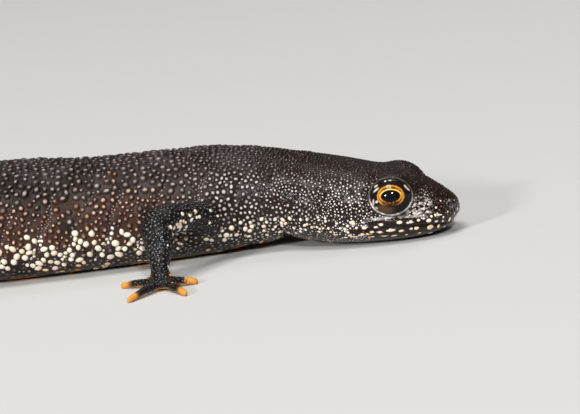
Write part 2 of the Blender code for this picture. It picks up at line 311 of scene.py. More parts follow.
# eyes, and the lids that the skin makes round them
eyeShape = {
    "radius": 2.15 * mm,
    "sunk": 0.59 * mm,  # the ball's centre inside the solid's
    "back": 0.08 * mm,
    "raise": 0.01 * mm,
    "halfWidth": 1.9 * mm,  # of the opening between the lids
    "halfHeight": 1.64 * mm,
    "gazeUp": 14.0,
    "gazeForward": 9.0,
    "rimRise": 0.1 * mm,
    "upperRimRise": 0.11 * mm,
    "rimWidth": 0.11 * mm,
    "furrow": 0.1 * mm,
    "lidSpread": 0.9 * mm,
    "cover": 0.04 * mm,  # skin over the ball, beyond the lids
    "coverEase": 0.045 * mm,
}


def eyeAxes(side):
    lift, turn = math.radians(eyeShape["gazeUp"]), math.radians(eyeShape["gazeForward"])
    level = headLeft * side * math.cos(turn) + headFront * math.sin(turn)
    gaze = unit(level * math.cos(lift) + up * math.sin(lift))
    front = unit(headFront - gaze * (headFront @ gaze))
    above = np.cross(front, gaze) * side
    return gaze, front, (above if above[2] > 0 else -above)


def ballCentre(side):
    gaze, front, above = eyeAxes(side)
    sunk, back, lift = eyeShape["sunk"], eyeShape["back"], eyeShape["raise"]
    return eyeCentre[side] - gaze * sunk - front * back + above * lift


def eyeMeasures(points, side):
    # out along the gaze, turn round it, the opening's reach that way, and how far outside its edge
    gaze, front, above = eyeAxes(side)
    rel = points - ballCentre(side)
    out, ahead, high = rel @ gaze, rel @ front, rel @ above
    wide, tall = eyeShape["halfWidth"], eyeShape["halfHeight"]
    turn = np.arctan2(high / tall, ahead / wide)
    opening = np.hypot(wide * np.cos(turn), tall * np.sin(turn))
    return out, turn, opening, np.hypot(ahead, high) - opening


def subdivideNear(skin, chosen):
    # splits the faces whose middle the chosen test accepts
    onlySelect(skin)
    mesh = skin.data
    for domain in (mesh.vertices, mesh.edges):
        domain.foreach_set("select", np.zeros(len(domain), bool))
    mesh.polygons.foreach_set("select", chosen(readAll(mesh.polygons, "center")))
    bpy.ops.object.mode_set(mode="EDIT")
    bpy.ops.mesh.select_mode(type="FACE")
    bpy.ops.mesh.subdivide(number_cuts=1)
    bpy.ops.object.mode_set(mode="OBJECT")


def nearEyes(points, reach):
    return nearestOf(points, eyeCentre.values()) < reach


def shapeLids(mesh):
    points = pointsOf(mesh)
    radius = eyeShape["radius"]
    for side in eyeCentre:
        gaze = eyeAxes(side)[0]
        out, turn, opening, edge = eyeMeasures(points, side)
        across = edge + opening
        ball = np.sqrt(np.maximum(radius**2 - opening**2, 0))
        isUpper = smoothStep(-0.2, 0.5, np.sin(turn))
        rise = eyeShape["rimRise"] + (eyeShape["upperRimRise"] - eyeShape["rimRise"]) * isUpper
        width = eyeShape["rimWidth"] * (1 + 0.4 * isUpper)
        rim = ball + rise * bump(edge - width * 0.9, width)
        outer = out - eyeShape["furrow"] * bump(edge - width * 3.4, width) * (1 - isUpper)
        mix = smoothStep(width * 1.2, eyeShape["lidSpread"], edge)
        lid = mixed(rim, outer, mix)
        inside = np.sqrt(np.maximum(radius**2 - across**2, 0)) - 0.45 * mm
        lid = np.where(edge < -0.05 * mm, inside, lid)
        near = (out > -0.3 * mm) & (edge < eyeShape["lidSpread"] * 1.2) & (across < 4 * mm)
        points[near] += gaze * (lid - out)[near, None]
        # beyond the lids the skin stays clear of the ball
        rel = points - ballCentre(side)
        away = np.linalg.norm(rel, axis=1)
        shell, ease = radius + eyeShape["cover"], eyeShape["coverEase"]
        tight = (away < shell + 6 * ease) & (edge > 0.1 * mm) & (away > 1e-6)
        eased = shell + ease * np.logaddexp(0, (away - shell) / ease)
        lifted = away + (eased - away) * rises(edge, 0.1, 0.5)
        lifted = np.where(away < shell, np.maximum(lifted, shell), lifted)
        points[tight] = ballCentre(side) + rel[tight] * (lifted / away)[tight][:, None]
    setPoints(mesh, points)


mouthShape = {
    "back": (0.0, 1.4, 2.1, 2.8, 4.0, 5.2, 6.4, 7.5, 9.8, 14.0),  # mm behind the snout
    "height": (1.05, 1.22, 1.36, 1.47, 1.62, 1.74, 1.78, 1.77, 1.66, 1.4),  # of the lips' line
    "corner": 9.6 * mm,
    "groove": 0.15 * mm,
    "grooveWidth": 0.075 * mm,
    "lip": 0.05 * mm,
    "foldAbove": 0.78 * mm,  # the fold over the upper lip
    "fold": 0.13 * mm,
}


def mouthHeight(back):
    return np.interp(back / mm, mouthShape["back"], mouthShape["height"]) * mm


def behindSnout(points):
    # straight back along the head's own heading
    return -((points - snoutTip) @ headFront)


def nearMouth(points):
    back = behindSnout(points)
    above = points[:, 2] - mouthHeight(back)
    return (back < mouthShape["corner"] + mm) & (np.abs(above - 0.3 * mm) < 0.75 * mm)


def carveMouth(mesh):
    points, normals = pointsOf(mesh), normalsOf(mesh)
    back = behindSnout(points)
    above = points[:, 2] - mouthHeight(back)
    fade = 1 - smoothStep(mouthShape["corner"] - 1.6 * mm, mouthShape["corner"], back)
    outward = np.hypot(normals[:, 0], normals[:, 1])
    groove = -mouthShape["groove"] * bump(above, mouthShape["grooveWidth"])
    # each a ridge, with a smaller one or a groove under it
    lips = bump(above - 0.24 * mm, 0.13 * mm) + 0.7 * bump(above + 0.2 * mm, 0.12 * mm)
    lips = mouthShape["lip"] * lips
    aboveFold = above - mouthShape["foldAbove"]
    folds = bump(aboveFold - 0.14 * mm, 0.13 * mm) - 0.7 * bump(aboveFold + 0.08 * mm, 0.09 * mm)
    folds = mouthShape["fold"] * folds * rises(back, 2.6, 4.4)
    move = (groove + lips + folds) * fade * smoothStep(0.3, 0.7, outward) * (back < 12 * mm)
    setPoints(mesh, points + normals * move[:, None])


nostrilShape = {
    "back": 0.66 * mm,
    "side": 1.95 * mm,
    "height": 3.02 * mm,
    "size": 0.2 * mm,
    "depth": 0.42 * mm,
    "rim": 0.09 * mm,
    "edge": 0.34 * mm,  # from the middle to the clear edge round it
}


def nostrilPlaces(mesh):
    tree = BVHTree.FromPolygons(pointsOf(mesh).tolist(), [p.vertices[:] for p in mesh.polygons])
    places = []
    for side in (-1, 1):
        aim = snoutTip - headFront * nostrilShape["back"] + headLeft * side * nostrilShape["side"]
        aim[2] = nostrilShape["height"]
        places.append(np.array(tree.find_nearest(Vector(aim))[0]))
    return places


def carveNostrils(mesh, places):
    points, normals = pointsOf(mesh), normalsOf(mesh)
    for place in places:
        away = np.linalg.norm(points - place, axis=1)
        pit = nostrilShape["depth"] * bump(away, nostrilShape["size"])
        ring = nostrilShape["rim"] * bump(away - 2 * nostrilShape["size"], 0.13 * mm)
        points += normals * (ring - pit)[:, None]
    setPoints(mesh, points)


# folds of the skin: the throat's fold, the creases of the flanks and neck
foldShape = {
    "gularBack": 16.1 * mm,
    "gularDepth": 0.26 * mm,
    "costals": (  # mm behind the snout, strength
        (21.6, 0.4), (25.4, 0.9), (29.2, 0.7), (33.1, 1.0), (36.3, 0.4), (39.6, 1.0),
        (43.2, 0.6), (46.6, 0.9), (50.1, 0.7), (53.4, 0.9), (56.8, 0.6),
    ),
    "costalSlant": 0.55,
    "costalDepth": 0.3 * mm,
    "costalWidth": 0.36 * mm,
    "tailFirst": 63.0 * mm,
    "tailStep": 2.9 * mm,
    "tailCount": 22,
    "tailDepth": 0.08 * mm,
    "lumps": 0.16 * mm,
    "wrinkles": 0.11 * mm,
}


def fractal(points, size, seed):
    # smooth noise from -1 to 1, its size in mm
    shift = Vector((seed * 3.1, seed * 1.7, seed * 2.3))
    return np.array([noise.noise(Vector(p) / (size * mm) + shift) for p in points.tolist()])


def creases(points, back):
    # how deep each place lies in a crease of the flanks, from 0 to 1
    z = points[:, 2]
    wander = fractal(points, 2.6, 1)
    onFlank = within(z, 0.8, 2.4, 7.2, 9.3)
    depth = np.zeros(len(points))
    slant = foldShape["costalSlant"] * (5 * mm - z) + wander * 0.6 * mm
    for at, strength in foldShape["costals"]:
        crease = bump(back - at * mm - slant, foldShape["costalWidth"])
        depth = np.maximum(depth, crease * onFlank * strength)
    return depth


def foldSkin(mesh):
    points, normals = pointsOf(mesh), normalsOf(mesh)
    back = alongSpine(points)
    limb = readAttribute(mesh, "limb")
    wander = fractal(points, 2.6, 1)
    broad = fractal(points, 1.5, 2)
    z = points[:, 2]
    move = np.zeros(len(points))
    # throat fold, running a little way up behind the jaw
    behind = back - foldShape["gularBack"]
    gular = bump(behind - wander * 0.35 * mm - 0.1 * z, 0.28 * mm)
    move -= foldShape["gularDepth"] * gular * falls(z, 2.2, 4.6)
    lap = bump(behind + 0.65 * mm - 0.1 * z, 0.45 * mm)
    move += 0.12 * mm * lap * falls(z, 1.6, 3.6)
    move -= foldShape["costalDepth"] * creases(points, back)
    for k in range(foldShape["tailCount"]):
        at = foldShape["tailFirst"] + k * foldShape["tailStep"]
        crease = bump(back - at - 0.25 * np.abs(z - 3.6 * mm), 0.22 * mm)
        move -= foldShape["tailDepth"] * crease * rises(z, 1.2, 2.2)
    # soft unevenness of loose skin
    trunk = rises(back, 15, 22) * (1 - 0.6 * rises(back, 75, 100))
    move += foldShape["lumps"] * broad * trunk * rises(z, 0.3, 1.5)
    # wrinkles of the lores and under the eye
    lores = within(back, 1.0, 1.9, 7.6, 9.4)
    lores *= within(z, 2.3, 2.6, 3.9, 4.8)
    gap = np.min([np.abs(eyeMeasures(points, eye)[-1]) for eye in eyeCentre], 0)
    lores *= rises(gap, 0.25, 0.5)
    move += foldShape["wrinkles"] * fractal(points * (0.8, 0.8, 1.5), 0.24, 21) * lores
    points += normals * (move * (1 - limb))[:, None]
    points[:, 2] = np.maximum(points[:, 2], skinShape["floor"])
    setPoints(mesh, points)


def thinOut(skin):
    ratio = skinShape["triangles"] / len(trianglesOf(skin.data))
    if ratio < 1:
        applyModifier(skin, "DECIMATE", ratio=ratio, use_collapse_triangulate=True)
    print("skin thinned to", len(skin.data.polygons), "triangles")


def buildSkin():
    skin = growSkin()
    limb, foot = markRegions(skin.data)
    evenOutBody(skin)
    shrinkToCoat(skin.data, limb, foot)
    far, near = skinShape["fineEyes"]
    subdivideNear(skin, lambda p: nearEyes(p, far))
    subdivideNear(skin, lambda p: nearEyes(p, near) | nearMouth(p))
    shapeLids(skin.data)
    carveMouth(skin.data)
    nostrils = nostrilPlaces(skin.data)
    subdivideNear(skin, lambda p: nearestOf(p, nostrils) < skinShape["fineNostrils"])
    carveNostrils(skin.data, nostrils)
    foldSkin(skin.data)
    thinOut(skin)
    markRegions(skin.data)
    onlySelect(skin)
    bpy.ops.object.shade_smooth()
    return skin


skin = buildSkin()
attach(skin, "root")
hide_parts(*fleshNodes)


# what each place of the body is like: belly, rusty flank, gilt toes, wet head
toeShape = {
    "sectors": 72,  # round each foot
    "window": 8.0,  # degrees looked over for the digit's end
    "shortest": 2.2 * mm,  # a digit reaches at least this far from the foot's middle
    "palm": 1.3 * mm,
    "highest": 1.2 * mm,
    "tip": (1.45, 0.95),  # mm from the end where the gold starts and is full
}


def polar(rel):
    return np.hypot(rel[:, 0], rel[:, 1]), np.arctan2(rel[:, 1], rel[:, 0])


def fromToeEnds(points):
    # how far inside the end of its digit each place of a foot lies
    short = np.full(len(points), 99 * mm)
    middles = np.radians((np.arange(toeShape["sectors"]) + 0.5) * 360 / toeShape["sectors"] - 180)
    for name in wrists:
        foot = pointsOf(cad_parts[name].data)
        centre = (foot.min(0) + foot.max(0)) / 2
        reach, turn = polar(foot - centre)
        gap = np.abs((turn[None] - middles[:, None] + math.pi) % (2 * math.pi) - math.pi)
        ends = np.where(gap < math.radians(toeShape["window"]), reach, 0).max(1)
        away, angle = polar(points - centre)
        sector = ((angle + math.pi) / (2 * math.pi) * toeShape["sectors"]).astype(int)
        end = ends[np.clip(sector, 0, toeShape["sectors"] - 1)]
        onDigit = (end > toeShape["shortest"]) & (away < end + mm) & (away > toeShape["palm"])
        onDigit &= points[:, 2] < toeShape["highest"]
        short = np.where(onDigit, np.minimum(short, np.abs(end - away)), short)
    return short


def footPlaces():
    # wrist or ankle of each foot, where it meets its leg
    places = {}
    for name in fleshNodes:
        if name.endswith("_foot"):
            leg = nearestTree([name.replace("_foot", "_leg")])
            points = pointsOf(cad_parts[name].data)
            away = distancesTo(leg, points)
            places[name] = points[np.argsort(away)[:30]].mean(0)
    return places


wrists = footPlaces()


def bodyMarks(points, normals, limb, foot):
    back = alongSpine(points)
    z = points[:, 2]
    wander = fractal(points, 1.7, 5)
    tail = rises(back, 66, 76)
    # the orange of the belly, of the tail's lower edge and of the throat
    edge = (0.26 + 0.2 * tail) * mm + wander * 0.65 * mm
    under = rises(z - edge, 0.35, -0.25) * rises(back, 13, 20)
    under = under * (1 - limb) + smoothStep(-0.5, -0.9, normals[:, 2]) * foot
    # the flanks are rusty, the back is grey
    rusty = rises(back, 22, 32) * (1 - 0.7 * rises(back, 72, 100))
    rusty *= within(z, 1.6, 3.8, 6.4, 8.6)
    rusty *= smoothStep(-0.5, 0.35, wander + 0.25)
    patches = 0.55 * smoothStep(0.55, 0.9, fractal(points, 2.2, 9) + 0.3)
    rusty = np.maximum(rusty, patches) * (1 - limb)
    # gold digits, brown and wet head, black arms, and painted shade in the nostrils
    fromEnd = fromToeEnds(points) + wander * 0.5 * mm
    toe = foot * rises(fromEnd, *toeShape["tip"])
    warm = rises(z, 2.0, 0.6) * smoothStep(-0.7, 0.3, fractal(points, 1.1, 14))
    brown = falls(back, 13, 24) * (1 - limb)
    wet = falls(back, 10, 26)
    wet = np.maximum(wet, 0.5 * limb) * (1 - 0.8 * foot)
    wet *= 1 - 0.55 * smoothStep(0.35, 0.85, normals[:, 2]) * falls(back, 16, 22)
    fromNostril = nearestOf(points, nostrils)
    # painted shade inside each nostril
    nostrilShade = bump(fromNostril, 0.22 * mm)
    wet *= 1 - 0.9 * nostrilShade
    # pale stippling of the cheek, temple and neck, partly real stipple and partly painted glints
    top = np.interp(back / mm, (1, 4, 6, 8, 12, 20, 30), (4.2, 4.2, 4.8, 5.8, 6.8, 7.8, 8.4)) * mm
    stipple = within(back, 1.9, 2.9, 19, 29)
    stipple *= 1 - 0.45 * rises(back, 10, 13)
    stipple *= falls(z - top, -0.9, 0.9) * (1 - limb)
    # painted sheen high on the shoulders, carried in the crease mark
    shoulderSheen = within(back, 17, 21, 29, 38)
    shoulderSheen *= rises(z, 4.6, 7.2) * smoothStep(-0.5, 0.4, fractal(points, 1.3, 17))
    crease = np.maximum(creases(points, back), 0.55 * shoulderSheen) * (1 - limb)
    return {
        "under": under, "rusty": rusty, "toe": toe, "wet": wet, "warm": warm, "brown": brown,
        # arm: black arms, and painted shade in the nostrils; crease: also painted sheen on the shoulders
        "stipple": stipple, "crease": crease, "armAndNostrilShade": np.maximum(limb * (1 - toe), nostrilShade),
        # painted highlights along the lids, the lip fold, the lores and round the nostrils
        "lid": paintedGlints(points, fromNostril),
    }


def paintedGlints(points, fromNostril):
    # painted highlights of wet skin: the lids' edge, brightest below, the fold over the lip, the
    # wrinkled lores, and a ring round each nostril
    lid = np.zeros(len(points))
    for eye in eyeCentre:
        out, turn, _, edge = eyeMeasures(points, eye)
        lit = 0.12 + 0.88 * smoothStep(0.35, -0.5, np.sin(turn))
        lit *= 0.35 + 0.65 * smoothStep(-0.35, 0.15, fractal(points, 0.33, 41))
        lid = np.maximum(lid, lit * bump(edge - 0.09 * mm, 0.06 * mm) * (out > -0.5 * mm))
    back = behindSnout(points)
    z = points[:, 2]
    crest = z - mouthHeight(back) - mouthShape["foldAbove"] - 0.16 * mm
    onFold = within(back, 2.4, 3.0, 7.0, 8.4)
    onFold *= smoothStep(-0.55, -0.05, fractal(points, 0.5, 31))
    lid = np.maximum(lid, onFold * bump(crest, 0.095 * mm))
    # painted highlight: a pale ring round each nostril
    lid = np.maximum(lid, 0.45 * bump(fromNostril - nostrilShape["edge"], 0.05 * mm))
    lores = within(back, 1.9, 2.5, 3.7, 4.5)
    lores *= within(z, 2.3, 2.7, 3.6, 4.3)
    streaks = smoothStep(0.1, 0.24, fractal(points * (0.75, 0.75, 1.7), 0.3, 51))
    return np.maximum(lid, lores * streaks)


# warts: low domes set all over the skin, crowded as they are on the newt
wartShape = {
    "large": (9, ((1.24, -0.14), (1.03, 0.14), (0.9, 0.5), (0.64, 0.82), (0.32, 0.97))),
    "small": (7, ((1.25, -0.14), (0.98, 0.2), (0.74, 0.66), (0.36, 0.95))),
    "gap": 0.96,  # between two warts' middles, in radii
    "tries": 260000,
    "vary": (0.8, 1.16),  # of the radius
    "whiteTaller": 1.25,
    "late": 0.6,  # after this share of them come small ones, to fill the gaps
    "lateSize": (0.68, 0.75),
    "lateDark": 0.8,  # share of the white ones among these that stay dark
    "snout": (4.5 * mm, 0.35),  # up to here only this share stands
    "footShare": 0.6,
    "digits": 3.6 * mm,  # from the wrist; none stands beyond
    "fromLid": 0.34 * mm,
    "cell": 0.45 * mm,  # of the grid that neighbours are looked up in
    "uneven": 0.1,
    "oval": (0.9, 1.22),
    "floor": 0.004 * mm,
    "patch": 0.0015 / 1.3,  # size of a wart's own patch on the unwrap
    "back": (0.0, 3.0, 6.0, 12.0, 16.0, 22.0, 30.0, 66.0, 80.0, 110.0, 139.0),  # mm behind the snout
    "radius": (0.11, 0.12, 0.125, 0.14, 0.18, 0.24, 0.29, 0.29, 0.24, 0.19, 0.14),
    "height": (0.03, 0.05, 0.07, 0.1, 0.14, 0.18, 0.22, 0.21, 0.14, 0.09, 0.05),
    "limb": (0.175, 0.075),  # radius and height there, in mm
    "foot": (0.13, 0.03),
    "spreadLimb": 0.17,  # radius there, for how densely places are spread
}
whiteShape = {  # of the white warts, by mm behind the snout
    "topAt": (8, 12, 16, 22, 30, 45, 66, 80, 110),
    "top": (3.2, 3.7, 3.6, 3.7, 4.5, 4.9, 4.2, 2.6, 1.6),  # mm above the floor
    "mostAt": (6, 8, 13, 18, 26, 60, 72, 90, 120),
    "most": (0.08, 0.2, 0.38, 0.7, 0.76, 0.76, 0.5, 0.25, 0.0),  # share of all warts
    "arms": ("fore_right_leg", "fore_left_leg"),
    "crown": (0.0, 0.32),  # the white stops short of a wart's foot
    "halo": (0.85, 0.25),  # the pale skin round one, in radii: full inside, and its fading
}


def modelWart(kind):
    # one dome: a ring drawn up and in, step by step, and closed at the top
    sides, profile = wartShape[kind]
    wide, low = profile[0]
    bpy.ops.mesh.primitive_circle_add(vertices=sides, radius=wide, location=(0, 0, low))
    dome = bpy.context.object
    bpy.ops.object.transform_apply()
    bpy.ops.object.mode_set(mode="EDIT")
    bpy.ops.mesh.select_mode(type="VERT")
    bpy.ops.mesh.select_all(action="SELECT")
    for (wide, low), (narrow, high) in zip(profile, profile[1:]):
        bpy.ops.mesh.extrude_region_move(TRANSFORM_OT_translate={"value": (0, 0, high - low)})
        shrink = narrow / wide
        bpy.ops.transform.resize(value=(shrink, shrink, 1), center_override=(0, 0, high))
    bpy.ops.mesh.extrude_region_move(TRANSFORM_OT_translate={"value": (0, 0, 1 - profile[-1][1])})
    bpy.ops.mesh.merge(type="CENTER")
    bpy.ops.mesh.select_all(action="SELECT")
    bpy.ops.mesh.normals_make_consistent(inside=False)
    bpy.ops.object.mode_set(mode="OBJECT")
    points, faces = pointsOf(dome.data), trianglesOf(dome.data)
    top = np.argmax(points[:, 2])
    first = faces[(faces == top).any(1)][0]
    if np.cross(points[first[1]] - points[first[0]], points[first[2]] - points[first[0]])[2] < 0:
        faces = faces[:, ::-1]
    bpy.data.objects.remove(dome)
    return points, faces


def spreadPlaces(mesh, tries):
    # random places all over the skin, more of them where the warts are finer
    faces, points, normals = trianglesOf(mesh), pointsOf(mesh), normalsOf(mesh)
    limb, foot = readAttribute(mesh, "limb"), readAttribute(mesh, "foot")
    corners = points[faces]
    first, second, third = corners.transpose(1, 0, 2)
    area = np.linalg.norm(np.cross(second - first, third - first), axis=1)
    back = alongSpine(corners.mean(1))
    fine = np.interp(back / mm, wartShape["back"], wartShape["radius"])
    weight = area / mixed(fine, wartShape["spreadLimb"], limb[faces].mean(1)) ** 2
    pick = rng.choice(len(faces), tries, p=weight / weight.sum())
    share = rng.random((tries, 2))
    over = share.sum(1) > 1
    share[over] = 1 - share[over]
    share = np.column_stack([1 - share.sum(1), share])[..., None]
    chosen = faces[pick]
    normal = (normals[chosen] * share).sum(1)
    normal /= np.linalg.norm(normal, axis=1, keepdims=True)
    limb, foot = ((values[chosen] * share[..., 0]).sum(1) for values in (limb, foot))
    return (points[chosen] * share).sum(1), normal, limb, foot


def sizeWarts(place, normal, limb, foot):
    # radius and height of a wart at each place, and whether it may stand there
    back = alongSpine(place)
    z, down = place[:, 2], smoothStep(-0.3, -0.8, normal[:, 2])
    patch = fractal(place, 2.4, 3)
    radius = np.interp(back / mm, wartShape["back"], wartShape["radius"])
    height = np.interp(back / mm, wartShape["back"], wartShape["height"])
    radius *= 1 + 0.25 * patch
    onBack = rises(z, 5.6, 7.6) * rises(back, 22, 30)
    radius *= 1 + 0.22 * onBack
    height *= 1 + 0.12 * onBack
    inCrease = smoothStep(0.2, 0.5, creases(place, back))
    radius *= 1 - 0.5 * inCrease
    height *= 1 - 0.6 * inCrease
    top = smoothStep(0.5, 0.9, normal[:, 2]) * (back < 14 * mm)
    height *= (1 - 0.5 * top) * (1 - 0.8 * down)
    for key, share in (("limb", limb), ("foot", foot)):
        wide, high = wartShape[key]
        radius, height = mixed(radius, wide, share), mixed(height, high, share)
    # fewer on snout and feet, none on the digits, round the eyes, the lips and the nostrils
    keep = np.full(len(place), 1.0)
    upTo, fewer = wartShape["snout"]
    keep[back < upTo] = fewer
    keep[foot > 0.5] = wartShape["footShare"]
    keep[(nearestOf(place, wrists.values()) > wartShape["digits"]) & (foot > 0.5)] = 0
    for eye in eyeCentre:
        out, _, _, edge = eyeMeasures(place, eye)
        keep[(edge < wartShape["fromLid"]) & (out > -0.5 * mm)] = 0
    headBack = behindSnout(place)
    above = z - mouthHeight(headBack)
    lips = (above < 0.72 * mm) & (headBack < mouthShape["corner"] - 1.7 * mm)
    lips |= (np.abs(above) < 0.25 * mm) & (headBack < mouthShape["corner"])
    keep[lips & (limb < 0.5)] = 0
    keep[nearestOf(place, nostrils) < nostrilShape["edge"]] = 0
    keep[z < 0.16 * mm] = 0
    return radius * mm, height * mm, keep


def creamChance(place, normal, limb, foot):
    # the white warts crowd low on the flank and run on along the neck to the cheek
    back = alongSpine(place)
    z = place[:, 2] / mm
    top = np.interp(back / mm, whiteShape["topAt"], whiteShape["top"])
    most = np.interp(back / mm, whiteShape["mostAt"], whiteShape["most"])
    chance = most * (1 - smoothStep(top * 0.62, top * 1.12, z))
    chance *= 0.86 + 0.6 * np.clip(fractal(place, 1.9, 11) + 0.3, 0, 1)
    chance *= 1 - 0.85 * smoothStep(-0.45, -0.8, normal[:, 2])
    onArm = 0.22 * smoothStep(0.1, 0.6, normal[:, 0]) * smoothStep(0.45, -0.1, normal[:, 2])
    onOuter = smoothStep(6.1, 5.3, z) * smoothStep(3.7, 4.3, z) * smoothStep(-0.6, 0.0, normal[:, 2])
    for key in whiteShape["arms"]:
        low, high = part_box(key)
        # painted shade: no white warts under the upper arm, where its shade falls
        inner = low[1] if low[1] > 0 else high[1]
        pit = np.array((low[0] * 0.25 + high[0] * 0.75, inner, 2.2 * mm))
        chance *= 1 - 0.95 * bump(np.linalg.norm(place - pit, axis=1), 1.8 * mm)
        # more on its outer face, between its ridge and its underside
        dotted = bump(place[:, 0] - low[0] * 0.2 - high[0] * 0.8, 2.3 * mm)
        onArm = np.maximum(onArm, 0.5 * dotted * onOuter)
    return chance * (1 - limb) ** 3 + onArm * (1 - foot) * limb


def isClear(spot, others):
    x, y, z, radius = spot
    for otherX, otherY, otherZ, otherRadius in others:
        reach = wartShape["gap"] * (radius + otherRadius)
        if (x - otherX) ** 2 + (y - otherY) ** 2 + (z - otherZ) ** 2 < reach * reach:
            return False
    return True


def plantWarts(mesh):
    place, normal, limb, foot = spreadPlaces(mesh, wartShape["tries"])
    radius, height, keep = sizeWarts(place, normal, limb, foot)
    cream = rng.random(len(place)) < creamChance(place, normal, limb, foot)
    radius *= rng.uniform(*wartShape["vary"], len(place))
    height *= np.where(cream, wartShape["whiteTaller"], 1.0)
    late = np.arange(len(place)) > wartShape["late"] * len(place)
    radius[late] *= wartShape["lateSize"][0]
    height[late] *= wartShape["lateSize"][1]
    cream[late & (rng.random(len(place)) < wartShape["lateDark"])] = False
    allowed = np.flatnonzero(rng.random(len(place)) < keep)
    spots = np.column_stack([place, radius]).tolist()
    cellsOf = np.floor(place / wartShape["cell"]).astype(int).tolist()
    around = list(itertools.product(range(-2, 3), repeat=3))
    grid, taken = {}, []
    for k in allowed.tolist():
        i, j, h = cellsOf[k]
        others = [spot for a, b, c in around for spot in grid.get((i + a, j + b, h + c), ())]
        if isClear(spots[k], others):
            grid.setdefault((i, j, h), []).append(spots[k])
            taken.append(k)
    print("warts planted:", len(taken), "of them white:", int(cream[taken].sum()))
    planted = {
        "place": place, "normal": normal, "limb": limb, "foot": foot,
        "radius": radius, "height": height, "cream": cream.astype(float),
    }
    return {key: values[taken] for key, values in planted.items()}


def unwrapPlace(place, normal, limb):
    # places on an unwrap of the skin: the body along its length and round, the limbs in a strip
    back, side = alongBody(place)
    core = np.interp(back, (0, 0.03, 0.07, 0.139), (0.003, 0.005, 0.004, 0.0015))
    around = np.arctan2(side, place[:, 2] - core)
    u, v = 0.004 + 0.99 * back / bodyLength, 0.22 + 0.77 * (around / (2 * math.pi) + 0.5)
    whichLimb = (place[:, 0] > -0.005) * 2 + (side > 0)
    limbU = (whichLimb + 0.04 + 0.9 * np.clip((np.abs(side) / mm - 3) / 22, 0, 1)) / 4
    limbV = 0.01 + 0.19 * (np.arctan2(normal[:, 2], normal[:, 0]) / (2 * math.pi) + 0.5)
    return np.where((limb > 0.5)[:, None], np.column_stack([limbU, limbV]), np.column_stack([u, v]))


def joinWarts(name, kind, chosen, warts, stretch=None):
    # all the domes of one piece as one mesh
    points, faces = wartTemplates[kind]
    place, normal, limb, foot, radius, height, cream = (
        warts[key][chosen] for key in ("place", "normal", "limb", "foot", "radius", "height", "cream")
    )
    count, size = len(place), len(points)
    turn = rng.uniform(0, 2 * math.pi, count)
    helper = np.where(np.abs(normal[:, [2]]) < 0.9, up, np.array((1.0, 0, 0)))
    across = np.cross(normal, helper)
    across /= np.linalg.norm(across, axis=1, keepdims=True)
    if stretch is None:
        oval = rng.uniform(*wartShape["oval"], (count, 1))
        first = across * np.cos(turn)[:, None] + np.cross(normal, across) * np.sin(turn)[:, None]
    else:
        oval, first = stretch[:, None], across
    second = np.cross(normal, first)
    radius = radius[:, None]
    wobble = 1 + wartShape["uneven"] * rng.uniform(-1, 1, (count, size))
    x, y, z = points[:, 0] * wobble, points[:, 1] * wobble, np.tile(points[:, 2], (count, 1))
    put = (
        place[:, None]
        + first[:, None] * (x * radius * oval)[..., None]
        + second[:, None] * (y * radius / oval)[..., None]
        + normal[:, None] * (z * height[:, None])[..., None]
    )
    put[..., 2] = np.maximum(put[..., 2], wartShape["floor"])
    allFaces = (faces[None] + (np.arange(count) * size)[:, None, None]).reshape(-1, 3)
    mesh = bpy.data.meshes.new(name)
    mesh.from_pydata(put.reshape(-1, 3).tolist(), [], allFaces.tolist())
    obj = newObject(name, mesh)
    mesh.shade_smooth()
    marks = bodyMarks(place, normal, limb, foot)
    marks["tint"] = rng.random(count)
    for key, values in marks.items():
        floatAttribute(mesh, key, np.repeat(values, size))
    floatAttribute(mesh, "tip", np.tile(np.clip(points[:, 2], 0, 1), count))
    crown = smoothStep(*whiteShape["crown"], points[:, 2])
    floatAttribute(mesh, "cream", np.outer(cream, crown).ravel())
    uv = unwrapPlace(place, normal, limb)[:, None] + points[None, :, :2] * wartShape["patch"]
    layer = mesh.uv_layers.new(name="OFBake")
    layer.data.foreach_set("uv", uv.reshape(-1, 2)[allFaces.ravel()].astype(np.float32).ravel())
    print(name + ":", count, "warts,", len(allFaces), "triangles")
    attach(obj, "root")
    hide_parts(*fleshNodes)
    return obj


nostrils = nostrilPlaces(skin.data)
wartTemplates = {kind: modelWart(kind) for kind in ("large", "small")}
warts = plantWarts(skin.data)


def sortWarts():
    back = alongSpine(warts["place"])
    cream = warts["cream"] > 0.5
    onLimb = (warts["limb"] > 0.5) & ~cream
    belly = (warts["normal"][:, 2] < -0.55) & ~cream & ~onLimb
    fineHead = (back < 19 * mm) & ~cream & ~onLimb & ~belly
    rest = ~(cream | onLimb | belly | fineHead)
    dorsal = rest & ((back > 66 * mm) | (warts["place"][:, 2] > 7.2 * mm))
    nape, tail = np.quantile(back[dorsal], (1 / 3, 2 / 3))  # three lengths of like number
    return {
        "wartsWhite": ("large", cream, "skin_flank"),
        "wartsFlank": ("large", rest & ~dorsal, "skin_flank"),
        "wartsNape": ("large", dorsal & (back < nape), "skin_back"),
        "wartsBack": ("large", dorsal & (back >= nape) & (back < tail), "skin_back"),
        "wartsTail": ("large", dorsal & (back >= tail), "skin_back"),
        "grainHead": ("small", fineHead, "skin_flank"),
        "grainLimbs": ("small", onLimb, "skin_limb"),
        "grainBelly": ("small", belly, "skin_flank"),
    }


coat = []
for name, (kind, chosen, slot) in sortWarts().items():
    piece = joinWarts(name, kind, np.flatnonzero(chosen), warts)
    coat.append(piece)
